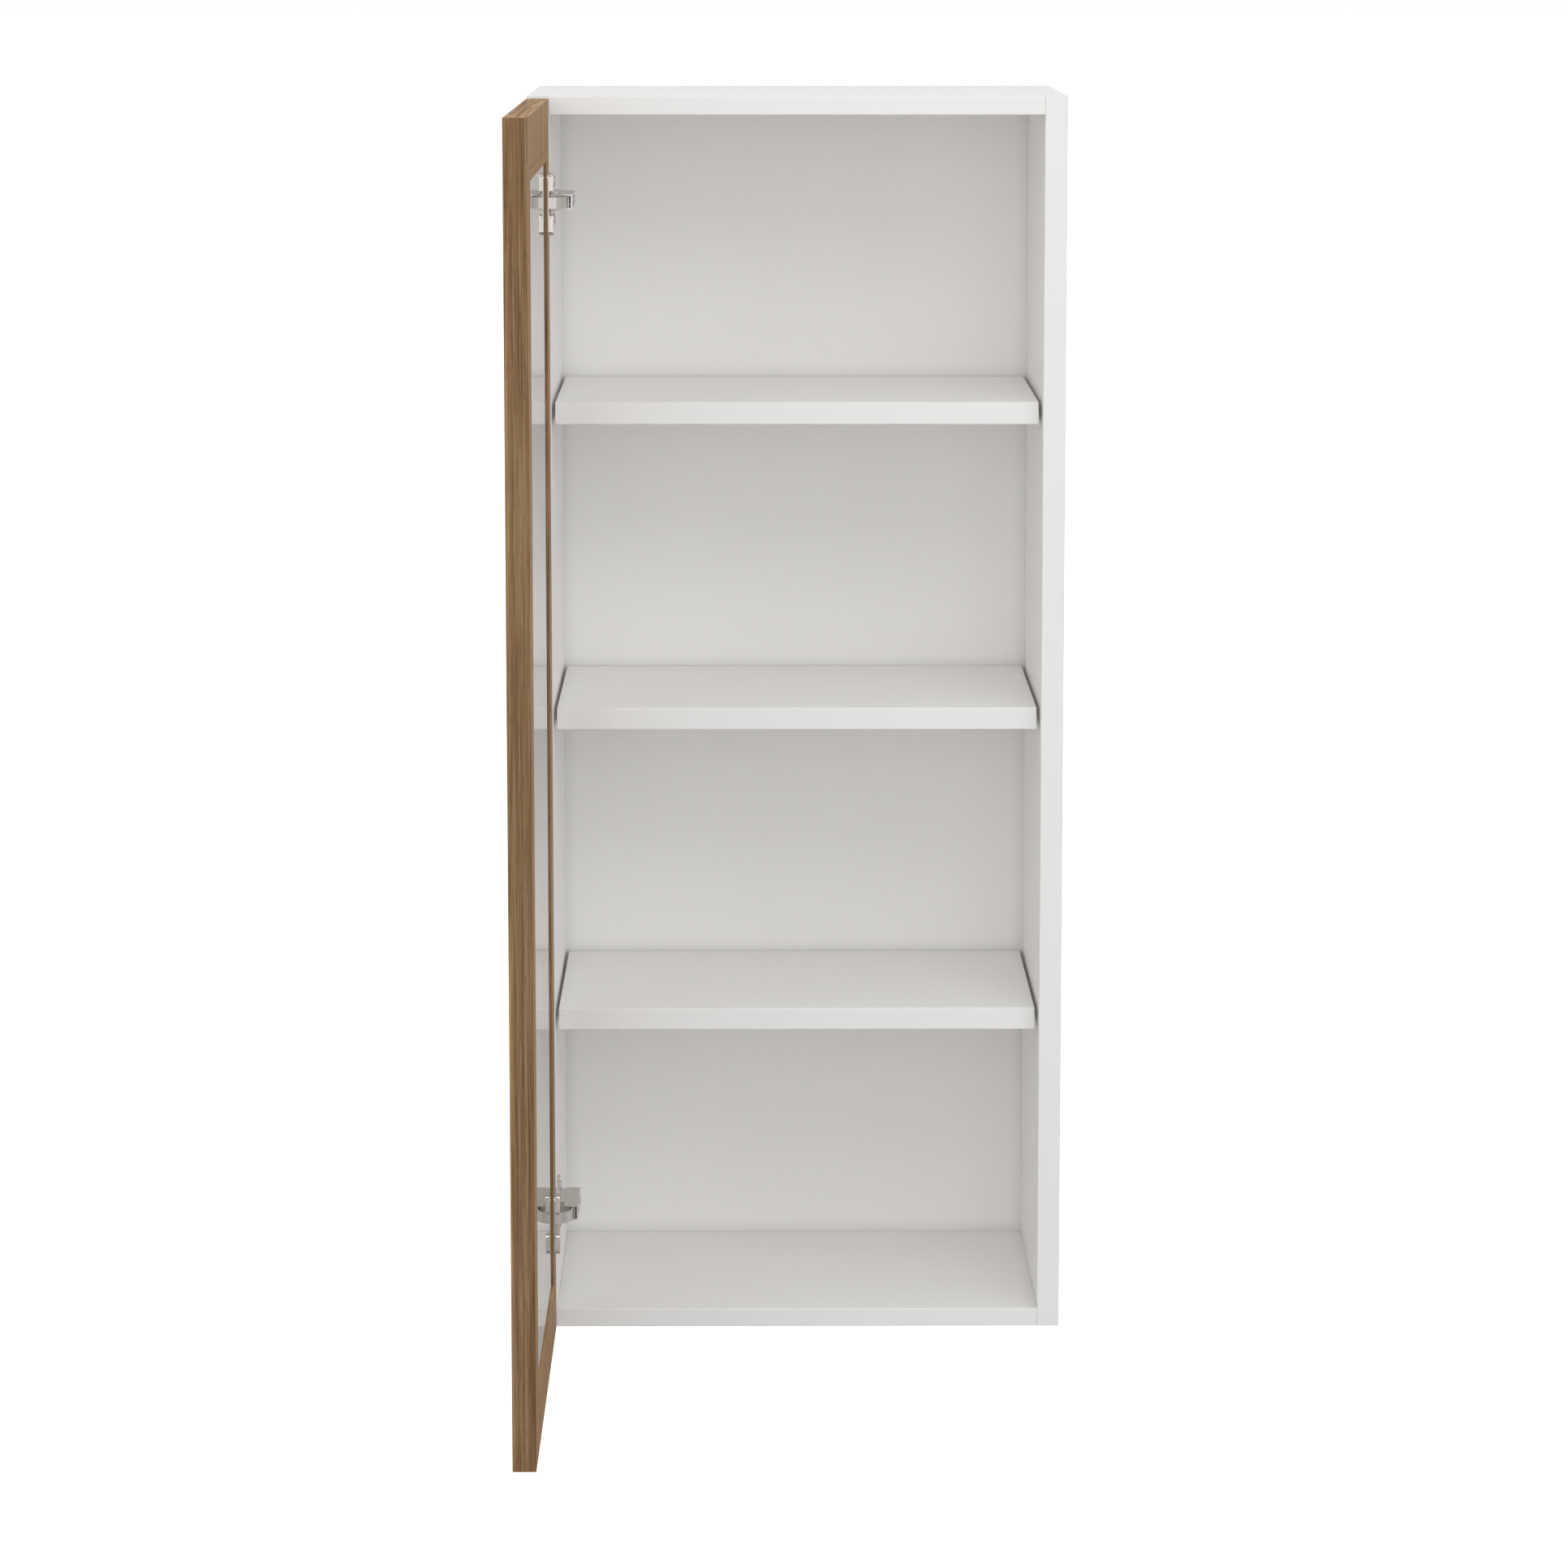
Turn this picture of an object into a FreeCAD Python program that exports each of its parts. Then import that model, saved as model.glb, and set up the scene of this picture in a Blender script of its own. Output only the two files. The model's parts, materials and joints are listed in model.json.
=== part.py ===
"""Tall frameless wall cabinet with three adjustable shelves and one framed glass door.

Millimetres, +Z up, +X to the right seen from the front, front towards -Y. The origin is the middle of
the rear face, which lies on the wall. The door hangs on two concealed hinges at the left and stands
open at a right angle, which is the rest pose of every joint.
"""
import FreeCAD, Part
import os

V = FreeCAD.Vector

# ---- driving dimensions ---------------------------------------------------------------------------

# carcass
WIDTH = 457.2
HEIGHT = 1066.8
DEPTH = 304.8  # carcass only, without the door
SIDE_T = 19.05
DECK_T = 15.875  # top and bottom panels
BACK_T = 12.7
BACK_REBATE = 9.525  # how far the back reaches into each side
BACK_SIDE_GAP = 0.25  # play of the back in its rebates
BAND_T = 1.0  # edge bands

# shelves and their pins
SHELF_NAMES = ("lower", "middle", "upper")
SHELF_T = 19.05
SHELF_SETBACK = 19.05
SHELF_END_GAP = 3.0
SHELF_BACK_GAP = 1.0
PIN_R = 2.5
PIN_DEPTH = 8.0
PIN_COLLAR_R = 3.0
PIN_COLLAR_T = 1.5
PIN_TONGUE = (12.0, 8.0, 2.0)  # reach, width, thickness
PIN_FROM_FRONT = 90.0
PIN_FROM_BACK = 50.0

# knock-down fittings between the decks and the sides
CAM_R = 7.5
CAM_H = 12.0
CAM_INSET = 24.0  # cam centre from the deck's end
CAM_BOLT_R = 3.0
CAM_BOLT_NECK_R = 2.0
CAM_BOLT_HEAD_L = 3.0
CAM_BOLT_NECK_L = 4.0
CAM_BOLT_THREAD_R = 2.5
CAM_BOLT_THREAD_L = 11.0
CAM_BOLT_BORE_R = 3.5
CAM_FROM_EDGE = 50.0  # from the front edge and from the back panel
DOWEL_R = 4.0
DOWEL_IN_SIDE = 12.0
DOWEL_IN_DECK = 18.0
DOWEL_FROM_CAM = 32.0

# screws: shank radius, length below the head's face, head radius, head height
BACK_SCREW = (2.0, 30.0, 3.75, 2.6)
CUP_SCREW = (1.75, 16.0, 3.4, 2.2)
PLATE_SCREW = (3.1, 13.0, 4.5, 2.0)
ARM_SCREW = (2.4, 15.0, 4.2, 2.2)
BACK_SCREWS_PER_SIDE = 4
BACK_SCREW_FROM_END = 60.0
BACK_SCREW_DECK_X = 100.0

# wall fixing holes in the back, hidden from above by the shelf over each row
WALL_HOLE_R = 2.75
WALL_HOLE_SPACING = 304.8
WALL_HOLE_BELOW_SHELF = 15.0

# door
DOOR_T = 19.05
DOOR_REVEAL = 1.6  # closed: from the door's edges to the carcass's edges
DOOR_GAP = 2.0  # closed: from the door's inner face to the carcass's front
FRAME_W = 50.8
GLASS_T = 4.0
GLASS_EDGE_GAP = 1.0
BEAD_T = 1.4
SEAL_T = 0.5
SEAL_EDGE_GAP = 0.5
SEAL_FROM_OPENING = 2.0
GLASS_REBATE_W = 9.5
DOOR_DOWEL_IN = 25.0  # into the stile and into the rail
DOOR_DOWEL_OFFSET = 10.0  # from the rail's middle

# hinges: turning axis and cup
AXIS_IN = 5.5  # from the carcass's left face
HINGE_FROM_TOP = 88.9
HINGE_FROM_BOTTOM = 101.6
CUP_R = 17.5
CUP_WALL = 0.6
CUP_DEPTH = 12.6
CUP_FROM_EDGE = 3.0  # from the door's edge to the bore
FLANGE_T = 1.2
FLANGE_MARGIN = 0.6  # flange past the bore, across the door
FLANGE_H = 51.6
FLANGE_CORNER_R = 4.0
CAP_T = 3.4  # raised pads over the cup screws
CAP_FROM_BORE = 15.9  # pad's near side, from the bore's near side
CAP_W = 15.0
CAP_FROM_MIDDLE = 8.5
CAP_CORNER_R = 3.0
CUP_SCREW_Z = 19.5
CUP_SCREW_FROM_CENTRE = 6.0

# hinges: arm, link and mounting plate; u is the distance from the side panel's inner face
ARM_U = (7.3, 19.0)
ARM_T = 1.2
ARM_H = 12.6
ARM_FRONT = 0.6  # arm's nose behind the carcass's front
ARM_LENGTH = 72.0
LINK_PIN_R = 1.0
LINK_EYE_R = 2.0
LINK_TAIL_R = 1.5
LINK_T = 1.5
LINK_H = 7.0
ARM_PIVOT = (14.95, 3.1)  # u, and distance behind the carcass's front
LINK_TAIL = (1.45, 8.95)  # depth into the door's inner face, distance from the door's edge
LINK_BEND = (13.25, 21.4)  # control point: u, and distance in front of the carcass's front
PLATE_FROM_FRONT = 37.0
PLATE_LENGTH = 50.0
PLATE_W = 16.0
PLATE_WING_T = 2.2
PLATE_WING_H = 48.0
PLATE_WING_W = 16.0
PLATE_KEEL_U = 12.0
PLATE_SCREW_Z = 16.0
ARM_SCREW_FROM_PLATE = 14.0

FIT = 0.05  # play all round a pin, screw or dowel in its hole

# ---- derived places -------------------------------------------------------------------------------

Z_TOP = HEIGHT / 2
Z_BOTTOM = -HEIGHT / 2
X_IN = WIDTH / 2 - SIDE_T  # inner face of a side, from the middle
Y_FRONT = -DEPTH
DECK_MIDS = {"top": Z_TOP - DECK_T / 2, "bottom": Z_BOTTOM + DECK_T / 2}
INNER_HEIGHT = HEIGHT - 2 * DECK_T
BAY = (INNER_HEIGHT - len(SHELF_NAMES) * SHELF_T) / (len(SHELF_NAMES) + 1)
SHELF_UNDERSIDES = {
    name: Z_BOTTOM + DECK_T + BAY + index * (BAY + SHELF_T) for index, name in enumerate(SHELF_NAMES)
}

AXIS_OUT = DOOR_GAP + DOOR_T - AXIS_IN  # so the open door is flush with the carcass's left face
AXIS_X = -WIDTH / 2 + AXIS_IN
AXIS_Y = Y_FRONT - AXIS_OUT
DOOR_INNER_X = AXIS_X + AXIS_OUT - DOOR_GAP
DOOR_EDGE_Y = AXIS_Y + AXIS_IN - DOOR_REVEAL
DOOR_W = WIDTH - 2 * DOOR_REVEAL
DOOR_Z = (Z_BOTTOM + DOOR_REVEAL, Z_TOP - DOOR_REVEAL)
GLASS_REBATE_D = BEAD_T + GLASS_T + SEAL_T
HINGE_Z = {"upper": Z_TOP - HINGE_FROM_TOP, "lower": Z_BOTTOM + HINGE_FROM_BOTTOM}
CUP_W = CUP_FROM_EDGE + CUP_R  # cup centre from the door's edge


# ---- helpers --------------------------------------------------------------------------------------


def box(x, y, z):
    """Box between two limits on each axis, in either order."""
    lows = [min(pair) for pair in (x, y, z)]
    sizes = [abs(pair[1] - pair[0]) for pair in (x, y, z)]
    return Part.makeBox(*sizes, V(*lows))


def rod(radius, start, end):
    """Cylinder between two points."""
    along = V(*end) - V(*start)
    return Part.makeCylinder(radius, along.Length, V(*start), along)


def cut(body, tools):
    """Body with every tool taken out of it."""
    return body.cut(tools).removeSplitter() if tools else body


def write(node, solids):
    """One STEP file for a node, which is one solid or a group of equal ones."""
    shape = solids if isinstance(solids, Part.Shape) else Part.makeCompound(solids)
    if not shape.isValid():
        raise ValueError(f"{node} is not a valid shape")
    shape.exportStep(f"parts/{node}.step")


def screw(size, face, inward, play=0.0, sunk=True):
    """Screw whose head's outer face is centred on `face`; with play it is its own hole.

    A sunk head is a cone under the surface, and the other kind stands on the surface.
    """
    shank_r, length, head_r, head_h = size
    face, inward = V(*face), V(*inward)
    shank = Part.makeCylinder(shank_r + play, length + play, face, inward)
    if sunk:
        head = Part.makeCone(head_r + play, shank_r + play, head_h + play, face, inward)
    else:
        head = Part.makeCylinder(head_r, head_h, face, inward * -1)
    return shank.fuse(head).removeSplitter()


def door_box(across, depth, z):
    """Box on the open door: `across` from its hinged edge, `depth` in from its inner face."""
    return box([DOOR_INNER_X - d for d in depth], [DOOR_EDGE_Y - w for w in across], z)


def door_point(across, depth, z):
    """Point on the open door."""
    return (DOOR_INNER_X - depth, DOOR_EDGE_Y - across, z)


def rounded_plate(across, depth, z, radius):
    """Door box with its four corners rounded, as seen from inside."""
    plate = door_box(across, depth, z)
    corners = [
        e for e in plate.Edges
        if abs(e.Vertexes[0].X - e.Vertexes[-1].X) > 1e-6
    ]
    return plate.makeFillet(radius, corners)


# ---- carcass --------------------------------------------------------------------------------------


def pin_points(name):
    """Where each pin of a shelf enters its side: side sign, y and z of its axis."""
    z = SHELF_UNDERSIDES[name] - PIN_COLLAR_R
    rows = (Y_FRONT + PIN_FROM_FRONT, -BACK_T - PIN_FROM_BACK)
    return [(sign, y, z) for sign in (-1, 1) for y in rows]


def shelf_pin(sign, y, z):
    """Shelf pin: a shank in the side, a collar on it and a tongue under the shelf."""
    reach, width, thick = PIN_TONGUE
    shank = rod(PIN_R, (sign * (X_IN + PIN_DEPTH), y, z), (sign * X_IN, y, z))
    collar = rod(PIN_COLLAR_R, (sign * X_IN, y, z), (sign * (X_IN - PIN_COLLAR_T), y, z))
    top = z + PIN_COLLAR_R
    tongue = box((sign * X_IN, sign * (X_IN - reach)), (y - width / 2, y + width / 2), (top - thick, top))
    return shank.fuse([collar, tongue]).removeSplitter()


def deck_joints():
    """Every deck-to-side corner: deck name, side sign and mid height."""
    for deck, z in DECK_MIDS.items():
        for sign in (-1, 1):
            yield deck, sign, z


def cam_rows():
    """Depths of the cams, front row first."""
    return Y_FRONT + CAM_FROM_EDGE, -BACK_T - CAM_FROM_EDGE


def dowel_rows():
    """Depths of the dowels, between the cams."""
    front, back = cam_rows()
    return front + DOWEL_FROM_CAM, back - DOWEL_FROM_CAM


def cam_bolt(sign, y, z):
    """Cam bolt: thread in the side, shank through the deck's bore, neck and head inside the cam."""
    face = sign * X_IN
    head_end = sign * (X_IN - CAM_INSET - CAM_BOLT_HEAD_L / 2)
    neck_end = head_end + sign * CAM_BOLT_HEAD_L
    shank_end = neck_end + sign * CAM_BOLT_NECK_L
    pieces = [
        rod(CAM_BOLT_R, (shank_end, y, z), (face, y, z)),
        rod(CAM_BOLT_NECK_R, (neck_end, y, z), (shank_end, y, z)),
        rod(CAM_BOLT_R, (head_end, y, z), (neck_end, y, z)),
    ]
    thread = rod(CAM_BOLT_THREAD_R, (face, y, z), (face + sign * CAM_BOLT_THREAD_L, y, z))
    return thread.fuse(pieces).removeSplitter()


def cam_lock(sign, y, z):
    """Cam lock in a deck's underside: a round block with a channel for the bolt and a cross in its face."""
    x = sign * (X_IN - CAM_INSET)
    face = z - DECK_T / 2
    block = rod(CAM_R - FIT, (x, y, face), (x, y, face + CAM_H))
    reach = CAM_BOLT_HEAD_L / 2 + 2 * FIT
    channel = rod(CAM_BOLT_BORE_R, (x - sign * reach, y, z), (x + sign * CAM_R, y, z))
    slot_l, slot_w, slot_d = 4.0, 0.8, 1.6
    cross = [
        box((x - slot_l, x + slot_l), (y - slot_w, y + slot_w), (face, face + slot_d)),
        box((x - slot_w, x + slot_w), (y - slot_l, y + slot_l), (face, face + slot_d)),
    ]
    return cut(block, [channel] + cross)


def deck_holes(deck_name):
    """Cam pockets, bolt bores and dowel holes of one deck."""
    tools = []
    for deck, sign, z in deck_joints():
        if deck != deck_name:
            continue
        x = sign * (X_IN - CAM_INSET)
        face = z - DECK_T / 2
        for y in cam_rows():
            tools.append(rod(CAM_R, (x, y, face), (x, y, face + CAM_H)))
            tools.append(rod(CAM_BOLT_BORE_R, (x, y, z), (sign * X_IN, y, z)))
        for y in dowel_rows():
            deep = sign * (X_IN - DOWEL_IN_DECK - FIT)
            tools.append(rod(DOWEL_R + FIT, (deep, y, z), (sign * X_IN, y, z)))
    return tools


def side_holes(side):
    """Blind holes in one side panel's inner face for bolts, dowels and shelf pins."""
    tools = []
    for _, sign, z in deck_joints():
        if sign != side:
            continue
        for y in cam_rows():
            deep = sign * (X_IN + CAM_BOLT_THREAD_L + FIT)
            tools.append(rod(CAM_BOLT_THREAD_R + FIT, (deep, y, z), (sign * X_IN, y, z)))
        for y in dowel_rows():
            deep = sign * (X_IN + DOWEL_IN_SIDE + FIT)
            tools.append(rod(DOWEL_R + FIT, (deep, y, z), (sign * X_IN, y, z)))
    for name in SHELF_NAMES:
        for sign, y, z in pin_points(name):
            if sign == side:
                deep = sign * (X_IN + PIN_DEPTH + FIT)
                tools.append(rod(PIN_R + FIT, (deep, y, z), (sign * X_IN, y, z)))
    return tools


def back_screw_points():
    """Heads of the screws that hold the back: a column in each rebate and a pair in each deck."""
    step = (HEIGHT - 2 * BACK_SCREW_FROM_END) / (BACK_SCREWS_PER_SIDE - 1)
    column = [Z_BOTTOM + BACK_SCREW_FROM_END + i * step for i in range(BACK_SCREWS_PER_SIDE)]
    x_rebate = X_IN + BACK_REBATE / 2
    points = [(sign * x_rebate, 0, z) for sign in (-1, 1) for z in column]
    points += [(sign * BACK_SCREW_DECK_X, 0, z) for z in DECK_MIDS.values() for sign in (-1, 1)]
    return points


def make_carcass():
    """Sides, decks, back, their edge bands and everything that joins them."""
    inwards = (0, -1, 0)
    screw_holes = [screw(BACK_SCREW, p, inwards, FIT) for p in back_screw_points()]
    core_y = (Y_FRONT + BAND_T, 0)
    full_z = (Z_BOTTOM, Z_TOP)
    for side, name in ((-1, "left"), (1, "right")):
        panel = box((side * X_IN, side * WIDTH / 2), core_y, full_z)
        rebate = box((side * X_IN, side * (X_IN + BACK_REBATE)), (-BACK_T, 0), full_z)
        hinge_holes = plate_screws(FIT) if side < 0 else []
        write(f"{name}_side_panel", cut(panel, [rebate] + side_holes(side) + hinge_holes + screw_holes))

    for name, z in DECK_MIDS.items():
        deck_z = (z - DECK_T / 2, z + DECK_T / 2)
        deck = box((-X_IN, X_IN), (Y_FRONT + BAND_T, -BACK_T), deck_z)
        write(f"{name}_panel", cut(deck, deck_holes(name) + screw_holes))

    back_x = X_IN + BACK_REBATE - BACK_SIDE_GAP
    back = box((-back_x, back_x), (-BACK_T, 0), full_z)
    wall_holes = []
    for name in ("upper", "lower"):
        z = SHELF_UNDERSIDES[name] - WALL_HOLE_BELOW_SHELF
        for sign in (-1, 1):
            x = sign * WALL_HOLE_SPACING / 2
            wall_holes.append(rod(WALL_HOLE_R, (x, -BACK_T, z), (x, 0, z)))
    write("back_panel", cut(back, wall_holes + screw_holes))

    band_y = (Y_FRONT, Y_FRONT + BAND_T)
    write("side_edge_bands", [box((s * X_IN, s * WIDTH / 2), band_y, full_z) for s in (-1, 1)])
    write("deck_edge_bands", [
        box((-X_IN, X_IN), band_y, (z - DECK_T / 2, z + DECK_T / 2)) for z in DECK_MIDS.values()
    ])
    write("back_screws", [screw(BACK_SCREW, p, inwards) for p in back_screw_points()])
    write("cam_locks", [cam_lock(s, y, z) for _, s, z in deck_joints() for y in cam_rows()])
    write("cam_bolts", [cam_bolt(s, y, z) for _, s, z in deck_joints() for y in cam_rows()])
    write("carcass_dowels", [
        rod(DOWEL_R, (s * (X_IN - DOWEL_IN_DECK), y, z), (s * (X_IN + DOWEL_IN_SIDE), y, z))
        for _, s, z in deck_joints() for y in dowel_rows()
    ])


def make_shelves():
    """Three loose shelves, their edge bands and their pins."""
    half = X_IN - SHELF_END_GAP
    front = Y_FRONT + SHELF_SETBACK
    bands = []
    for name in SHELF_NAMES:
        z = (SHELF_UNDERSIDES[name], SHELF_UNDERSIDES[name] + SHELF_T)
        write(f"{name}_shelf", box((-half, half), (front + BAND_T, -BACK_T - SHELF_BACK_GAP), z))
        bands.append(box((-half, half), (front, front + BAND_T), z))
        write(f"{name}_shelf_pins", [shelf_pin(*point) for point in pin_points(name)])
    write("shelf_edge_bands", bands)


# ---- door -----------------------------------------------------------------------------------------


def opening(grow):
    """Limits of the door frame's opening, grown on all sides: across, then z."""
    across = (FRAME_W - grow, DOOR_W - FRAME_W + grow)
    z = (DOOR_Z[0] + FRAME_W - grow, DOOR_Z[1] - FRAME_W + grow)
    return across, z


def door_dowels(play=0.0):
    """Dowels that join the rails to the stiles, two at each corner; with play they are holes."""
    reach = DOOR_DOWEL_IN + play
    rods = []
    for joint in (FRAME_W, DOOR_W - FRAME_W):
        for rail in (DOOR_Z[0] + FRAME_W / 2, DOOR_Z[1] - FRAME_W / 2):
            for offset in (-DOOR_DOWEL_OFFSET, DOOR_DOWEL_OFFSET):
                ends = [door_point(joint + s * reach, DOOR_T / 2, rail + offset) for s in (-1, 1)]
                rods.append(rod(DOWEL_R + play, *ends))
    return rods


def glass_beads():
    """Four mitred strips that hold the glass from inside."""
    (w0, w1), (z0, z1) = opening(0)
    (W0, W1), (Z0, Z1) = opening(GLASS_REBATE_W)
    outlines = [
        [(w0, z0), (w0, z1), (W0, Z1), (W0, Z0)],
        [(w1, z0), (w1, z1), (W1, Z1), (W1, Z0)],
        [(w0, z0), (w1, z0), (W1, Z0), (W0, Z0)],
        [(w0, z1), (w1, z1), (W1, Z1), (W0, Z1)],
    ]
    strips = []
    for outline in outlines:
        points = [V(*door_point(w, 0, z)) for w, z in outline + outline[:1]]
        strips.append(Part.Face(Part.makePolygon(points)).extrude(V(-BEAD_T, 0, 0)))
    return strips


def make_door():
    """Stiles, rails, glass and what holds them together."""
    across, z = opening(GLASS_REBATE_W)
    tools = [door_box(across, (0, GLASS_REBATE_D), z)] + door_dowels(FIT)
    thick = (0, DOOR_T)
    cups = [rod(CUP_R, door_point(CUP_W, 0, h), door_point(CUP_W, CUP_DEPTH + FIT, h)) for h in HINGE_Z.values()]
    cups += [hole for h in HINGE_Z.values() for hole in cup_screws(h, FIT)]
    write("door_hinge_stile", cut(door_box((0, FRAME_W), thick, DOOR_Z), tools + cups))
    write("door_free_stile", cut(door_box((DOOR_W - FRAME_W, DOOR_W), thick, DOOR_Z), tools))
    rail = (FRAME_W, DOOR_W - FRAME_W)
    write("door_top_rail", cut(door_box(rail, thick, (DOOR_Z[1] - FRAME_W, DOOR_Z[1])), tools))
    write("door_bottom_rail", cut(door_box(rail, thick, (DOOR_Z[0], DOOR_Z[0] + FRAME_W)), tools))
    write("door_dowels", door_dowels())

    across, z = opening(GLASS_REBATE_W - GLASS_EDGE_GAP)
    write("door_glass", door_box(across, (BEAD_T, BEAD_T + GLASS_T), z))
    depth = (BEAD_T + GLASS_T, GLASS_REBATE_D)
    outer, inner = opening(GLASS_REBATE_W - SEAL_EDGE_GAP), opening(SEAL_FROM_OPENING)
    write("glass_seal", cut(door_box(outer[0], depth, outer[1]), [door_box(inner[0], depth, inner[1])]))
    write("glass_beads", glass_beads())


# ---- hinges ---------------------------------------------------------------------------------------


def cup_screws(height, play=0.0):
    """Two screws through a hinge cup's pads; with play they are their own holes."""
    across = CUP_W + CUP_SCREW_FROM_CENTRE
    faces = [door_point(across, -FLANGE_T - CAP_T, height + s * CUP_SCREW_Z) for s in (-1, 1)]
    return [screw(CUP_SCREW, face, (-1, 0, 0), play) for face in faces]


def hinge_cup(height):
    """Pressed cup with its flange and the two raised pads that its screws go through."""
    centre = door_point(CUP_W, 0, height)
    floor = door_point(CUP_W, CUP_DEPTH, height)
    inner_floor = door_point(CUP_W, CUP_DEPTH - CUP_WALL, height)
    mouth = door_point(CUP_W, -FLANGE_T, height)
    across = (CUP_FROM_EDGE - FLANGE_MARGIN, CUP_FROM_EDGE + 2 * CUP_R + FLANGE_MARGIN)
    half = FLANGE_H / 2
    flange = rounded_plate(across, (-FLANGE_T, 0), (height - half, height + half), FLANGE_CORNER_R)
    shell = rod(CUP_R - FIT, centre, floor).fuse(flange)
    shell = shell.cut(rod(CUP_R - FIT - CUP_WALL, mouth, inner_floor))
    pad_w = (CUP_FROM_EDGE + CAP_FROM_BORE, CUP_FROM_EDGE + CAP_FROM_BORE + CAP_W)
    pads = []
    for sign in (-1, 1):
        z = (height + sign * CAP_FROM_MIDDLE, height + sign * half)
        pads.append(rounded_plate(pad_w, (-FLANGE_T - CAP_T, -FLANGE_T), z, CAP_CORNER_R))
    return cut(shell.fuse(pads).removeSplitter(), cup_screws(height, FIT))


def plan_point(u, v, z):
    """Point by its distance from the left side's inner face and in front of the carcass's front."""
    return V(-X_IN + u, Y_FRONT - v, z)


def link_ends():
    """The link's pivot on the arm and its tail inside the cup, as (u, v) pairs."""
    pivot = (ARM_PIVOT[0], -ARM_PIVOT[1])
    tail_depth, tail_across = LINK_TAIL
    tail = (DOOR_INNER_X - tail_depth + X_IN, Y_FRONT - DOOR_EDGE_Y + tail_across)
    return pivot, tail


def link_line():
    """Middle line of the link: a quadratic curve from the arm's pivot into the cup."""
    pivot, tail = link_ends()
    line = Part.BezierCurve()
    line.setPoles([plan_point(*pivot, 0), plan_point(*LINK_BEND, 0), plan_point(*tail, 0)])
    return line


def hinge_link(height):
    """Bent steel link: an eye on the arm's pin, a swept strap and a rolled tail in the cup."""
    pivot, tail = link_ends()
    line = link_line()
    steps = 12
    left, right = [], []
    for step in range(steps + 1):
        t = step / steps
        point, along = line.value(t), line.tangent(t)[0]
        across = V(-along.y, along.x, 0) * (LINK_T / 2)
        left.append(point + across)
        right.append(point - across)
    sides = []
    for points in (left, right):
        side = Part.BSplineCurve()
        side.interpolate(points)
        sides.append(side.toShape())
    caps = [Part.makeLine(left[0], right[0]), Part.makeLine(left[-1], right[-1])]
    outline = Part.Wire(Part.__sortEdges__(sides + caps))
    up = V(0, 0, LINK_H)
    base = height - LINK_H / 2
    strap = Part.Face(outline).extrude(up)
    strap.translate(V(0, 0, base))
    ends = [rod(r, plan_point(*p, base), plan_point(*p, base + LINK_H))
            for r, p in ((LINK_EYE_R, pivot), (LINK_TAIL_R, tail))]
    bore = rod(LINK_PIN_R + FIT, plan_point(*pivot, base), plan_point(*pivot, base + LINK_H))
    return cut(strap.fuse(ends).removeSplitter(), [bore])


def pivot_pin(height, play=0.0):
    """Pin across the arm that the link turns on."""
    half = ARM_H / 2
    pivot = link_ends()[0]
    return rod(LINK_PIN_R + play, plan_point(*pivot, height - half), plan_point(*pivot, height + half))


def arm_screws(height, play=0.0):
    """Fixing screw and side adjusting screw, through the arm's web into the mounting plate."""
    web = ARM_U[1]
    screws = []
    for offset in (-ARM_SCREW_FROM_PLATE, ARM_SCREW_FROM_PLATE):
        face = plan_point(web, -PLATE_FROM_FRONT + offset, height)
        screws.append(screw(ARM_SCREW, face, (-1, 0, 0), play, sunk=False))
    return screws


def hinge_arm(height):
    """Channel-shaped arm, open towards the side panel, with its link between the walls."""
    back, front = -ARM_FRONT - ARM_LENGTH, -ARM_FRONT
    half = ARM_H / 2
    low, high = plan_point(ARM_U[0], back, height - half), plan_point(ARM_U[1], front, height + half)
    body = box((low.x, high.x), (low.y, high.y), (low.z, high.z))
    body = body.makeFillet(ARM_T, [
        e for e in body.Edges
        if e.BoundBox.XMin > high.x - 1e-6 and e.BoundBox.YLength > ARM_LENGTH - 1e-6
    ])
    inside = box((low.x, high.x - ARM_T), (low.y, high.y), (low.z + ARM_T, high.z - ARM_T))
    return cut(body, [inside, pivot_pin(height, FIT)] + arm_screws(height, FIT))


def plate_screws(play=0.0):
    """Screws that hold both mounting plates to the left side; with play they are holes."""
    screws = []
    for height in HINGE_Z.values():
        screws += plate_screws_at(height, play)
    return screws


def plate_screws_at(height, play=0.0):
    """Two screws of one mounting plate."""
    faces = [plan_point(PLATE_WING_T, -PLATE_FROM_FRONT, height + s * PLATE_SCREW_Z) for s in (-1, 1)]
    return [screw(PLATE_SCREW, face, (-1, 0, 0), play, sunk=False) for face in faces]


def mounting_plate(height):
    """Plate on the side panel: two wings for its screws and a keel that the arm sits on."""
    middle = -PLATE_FROM_FRONT

    def block(u, length, tall):
        low = plan_point(u[0], middle - length / 2, height - tall / 2)
        high = plan_point(u[1], middle + length / 2, height + tall / 2)
        return box((low.x, high.x), (low.y, high.y), (low.z, high.z))

    wings = block((0, PLATE_WING_T), PLATE_WING_W, PLATE_WING_H)
    seat = block((0, ARM_U[0]), PLATE_LENGTH, PLATE_W)
    keel = block((0, PLATE_KEEL_U), PLATE_LENGTH, ARM_H - 2 * ARM_T - 2 * FIT)
    plate = wings.fuse([seat, keel]).removeSplitter()
    return cut(plate, plate_screws_at(height, FIT) + arm_screws(height, FIT))


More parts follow.
